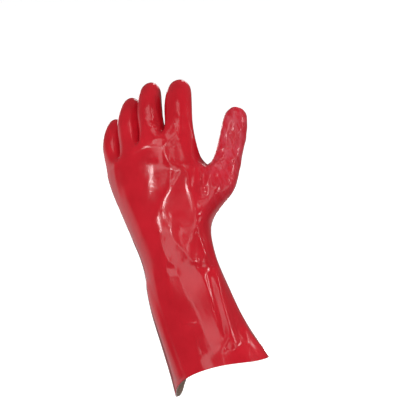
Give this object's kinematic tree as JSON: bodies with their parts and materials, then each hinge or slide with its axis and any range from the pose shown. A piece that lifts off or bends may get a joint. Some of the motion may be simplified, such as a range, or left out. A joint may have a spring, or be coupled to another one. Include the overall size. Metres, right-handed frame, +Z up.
{
  "type": "pvc coated work glove",
  "caption": "Long work glove for the left hand: glossy PVC dipped skin over a knitted lining, with finger and thumb stalls and a flared gauntlet open at the cuff.",
  "frame": {"origin": "middle of the cuff mouth, where the arm goes in", "axes": "+Z up along the forearm toward the fingers; the back and thumb side of the hand face -Y, the thumb points toward +X"},
  "size_m": [0.1764, 0.1355, 0.3259],
  "materials": {
    "pvc_coat": "smooth glossy dipped PVC",
    "cotton_lining": "knitted cotton"
  },
  "bodies": {
    "root": {"pvc_coat": "pvc_coat", "cotton_lining": "cotton_lining"}
  },
  "joints": []
}
